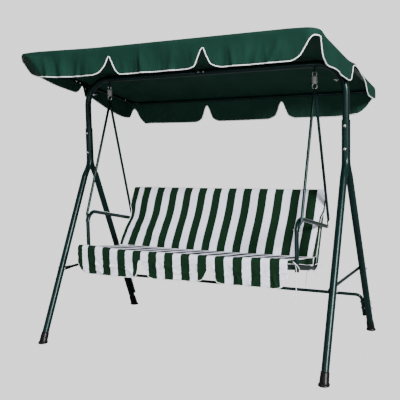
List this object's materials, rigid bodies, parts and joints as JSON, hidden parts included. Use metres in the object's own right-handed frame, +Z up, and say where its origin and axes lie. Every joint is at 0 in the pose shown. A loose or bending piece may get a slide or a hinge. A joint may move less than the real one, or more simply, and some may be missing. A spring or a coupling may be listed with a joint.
{
  "type": "canopy swing bench",
  "caption": "Garden swing bench on A-shaped tube sides, with a tilting scalloped canopy, striped cushions, armrests and a seat hung on springs.",
  "frame": {"origin": "on the floor, in the middle of the footprint and under the swing axis", "axes": "+X to the right of someone facing the bench, -Y towards that person, +Z up"},
  "size_m": [1.7344, 1.184, 1.641],
  "materials": {
    "green_paint": "gloss",
    "zinc": "satin",
    "foot_plastic": "matte",
    "canopy_fabric": "matte",
    "sling_fabric": "matte",
    "striped_fabric": "matte",
    "white_cord": "matte"
  },
  "bodies": {
    "frame": {"canopy_pivot_bolt_left": "zinc", "canopy_pivot_bolt_right": "zinc", "foot_cap_front_left": "foot_plastic", "foot_cap_front_right": "foot_plastic", "foot_cap_rear_left": "foot_plastic", "foot_cap_rear_right": "foot_plastic", "leg_front_left": "green_paint", "leg_front_right": "green_paint", "leg_rear_left": "green_paint", "leg_rear_right": "green_paint", "post_bolt_lower_left": "zinc", "post_bolt_lower_right": "zinc", "post_bolt_upper_left": "zinc", "post_bolt_upper_right": "zinc", "rail_screw_left": "zinc", "rail_screw_right": "zinc", "rear_stabiliser": "green_paint", "side_brace_left": "green_paint", "side_brace_right": "green_paint", "spring_eye_left": "green_paint", "spring_eye_right": "green_paint", "stabiliser_bolt_left": "zinc", "stabiliser_bolt_right": "zinc", "top_frame_tube_left": "green_paint", "top_frame_tube_right": "green_paint"},
    "suspension": {"coil_spring_left": "zinc", "coil_spring_right": "zinc"},
    "seat": {"armrest_left": "green_paint", "armrest_right": "green_paint", "back_cushion": "striped_fabric", "back_top_rail": "green_paint", "cushion_front_flap": "striped_fabric", "hanger_rod_front_left": "green_paint", "hanger_rod_front_right": "green_paint", "hanger_rod_rear_left": "green_paint", "hanger_rod_rear_right": "green_paint", "rod_bolt_front_left": "zinc", "rod_bolt_front_right": "zinc", "rod_bolt_rear_left": "zinc", "rod_bolt_rear_right": "zinc", "seat_cushion": "striped_fabric", "seat_front_rail": "green_paint", "seat_rear_rail": "green_paint", "seat_side_frame_left": "green_paint", "seat_side_frame_right": "green_paint", "seat_sling": "sling_fabric", "tie_cord_long": "white_cord", "tie_cord_rear": "white_cord", "tie_cord_short": "white_cord"},
    "canopy": {"bracket_bolt_left": "zinc", "bracket_bolt_right": "zinc", "canopy_bracket_left": "green_paint", "canopy_bracket_right": "green_paint", "canopy_fabric": "canopy_fabric", "canopy_front_bar": "green_paint", "canopy_rear_bar": "green_paint", "canopy_side_bar_left": "green_paint", "canopy_side_bar_right": "green_paint"},
    "tilt_nut_left": {"tilt_wing_nut_left": "zinc"},
    "tilt_nut_right": {"tilt_wing_nut_right": "zinc"}
  },
  "joints": [
    {"name": "seat_swing", "type": "hinge", "parent": "frame", "child": "suspension", "pos_m": [0, 0, 1.5022], "axis": [1, 0, 0], "range_deg": [-20, 20]},
    {"name": "seat_bounce", "type": "slide", "parent": "suspension", "child": "seat", "axis": [0, 0, 1], "range_m": [-0.03, 0], "stiffness_N_per_m": 30000, "springref_m": 0.012, "deforming": ["coil_spring_left", "coil_spring_right"]},
    {"name": "canopy_tilt", "type": "hinge", "parent": "frame", "child": "canopy", "pos_m": [0, 0, 1.457], "axis": [1, 0, 0], "range_deg": [-18, 18]},
    {"name": "tilt_nut_left_turn", "type": "hinge", "parent": "frame", "child": "tilt_nut_left", "pos_m": [-0.765, 0, 1.457], "axis": [-1, 0, 0], "continuous": true},
    {"name": "tilt_nut_right_turn", "type": "hinge", "parent": "frame", "child": "tilt_nut_right", "pos_m": [0.765, 0, 1.457], "axis": [1, 0, 0], "continuous": true}
  ]
}
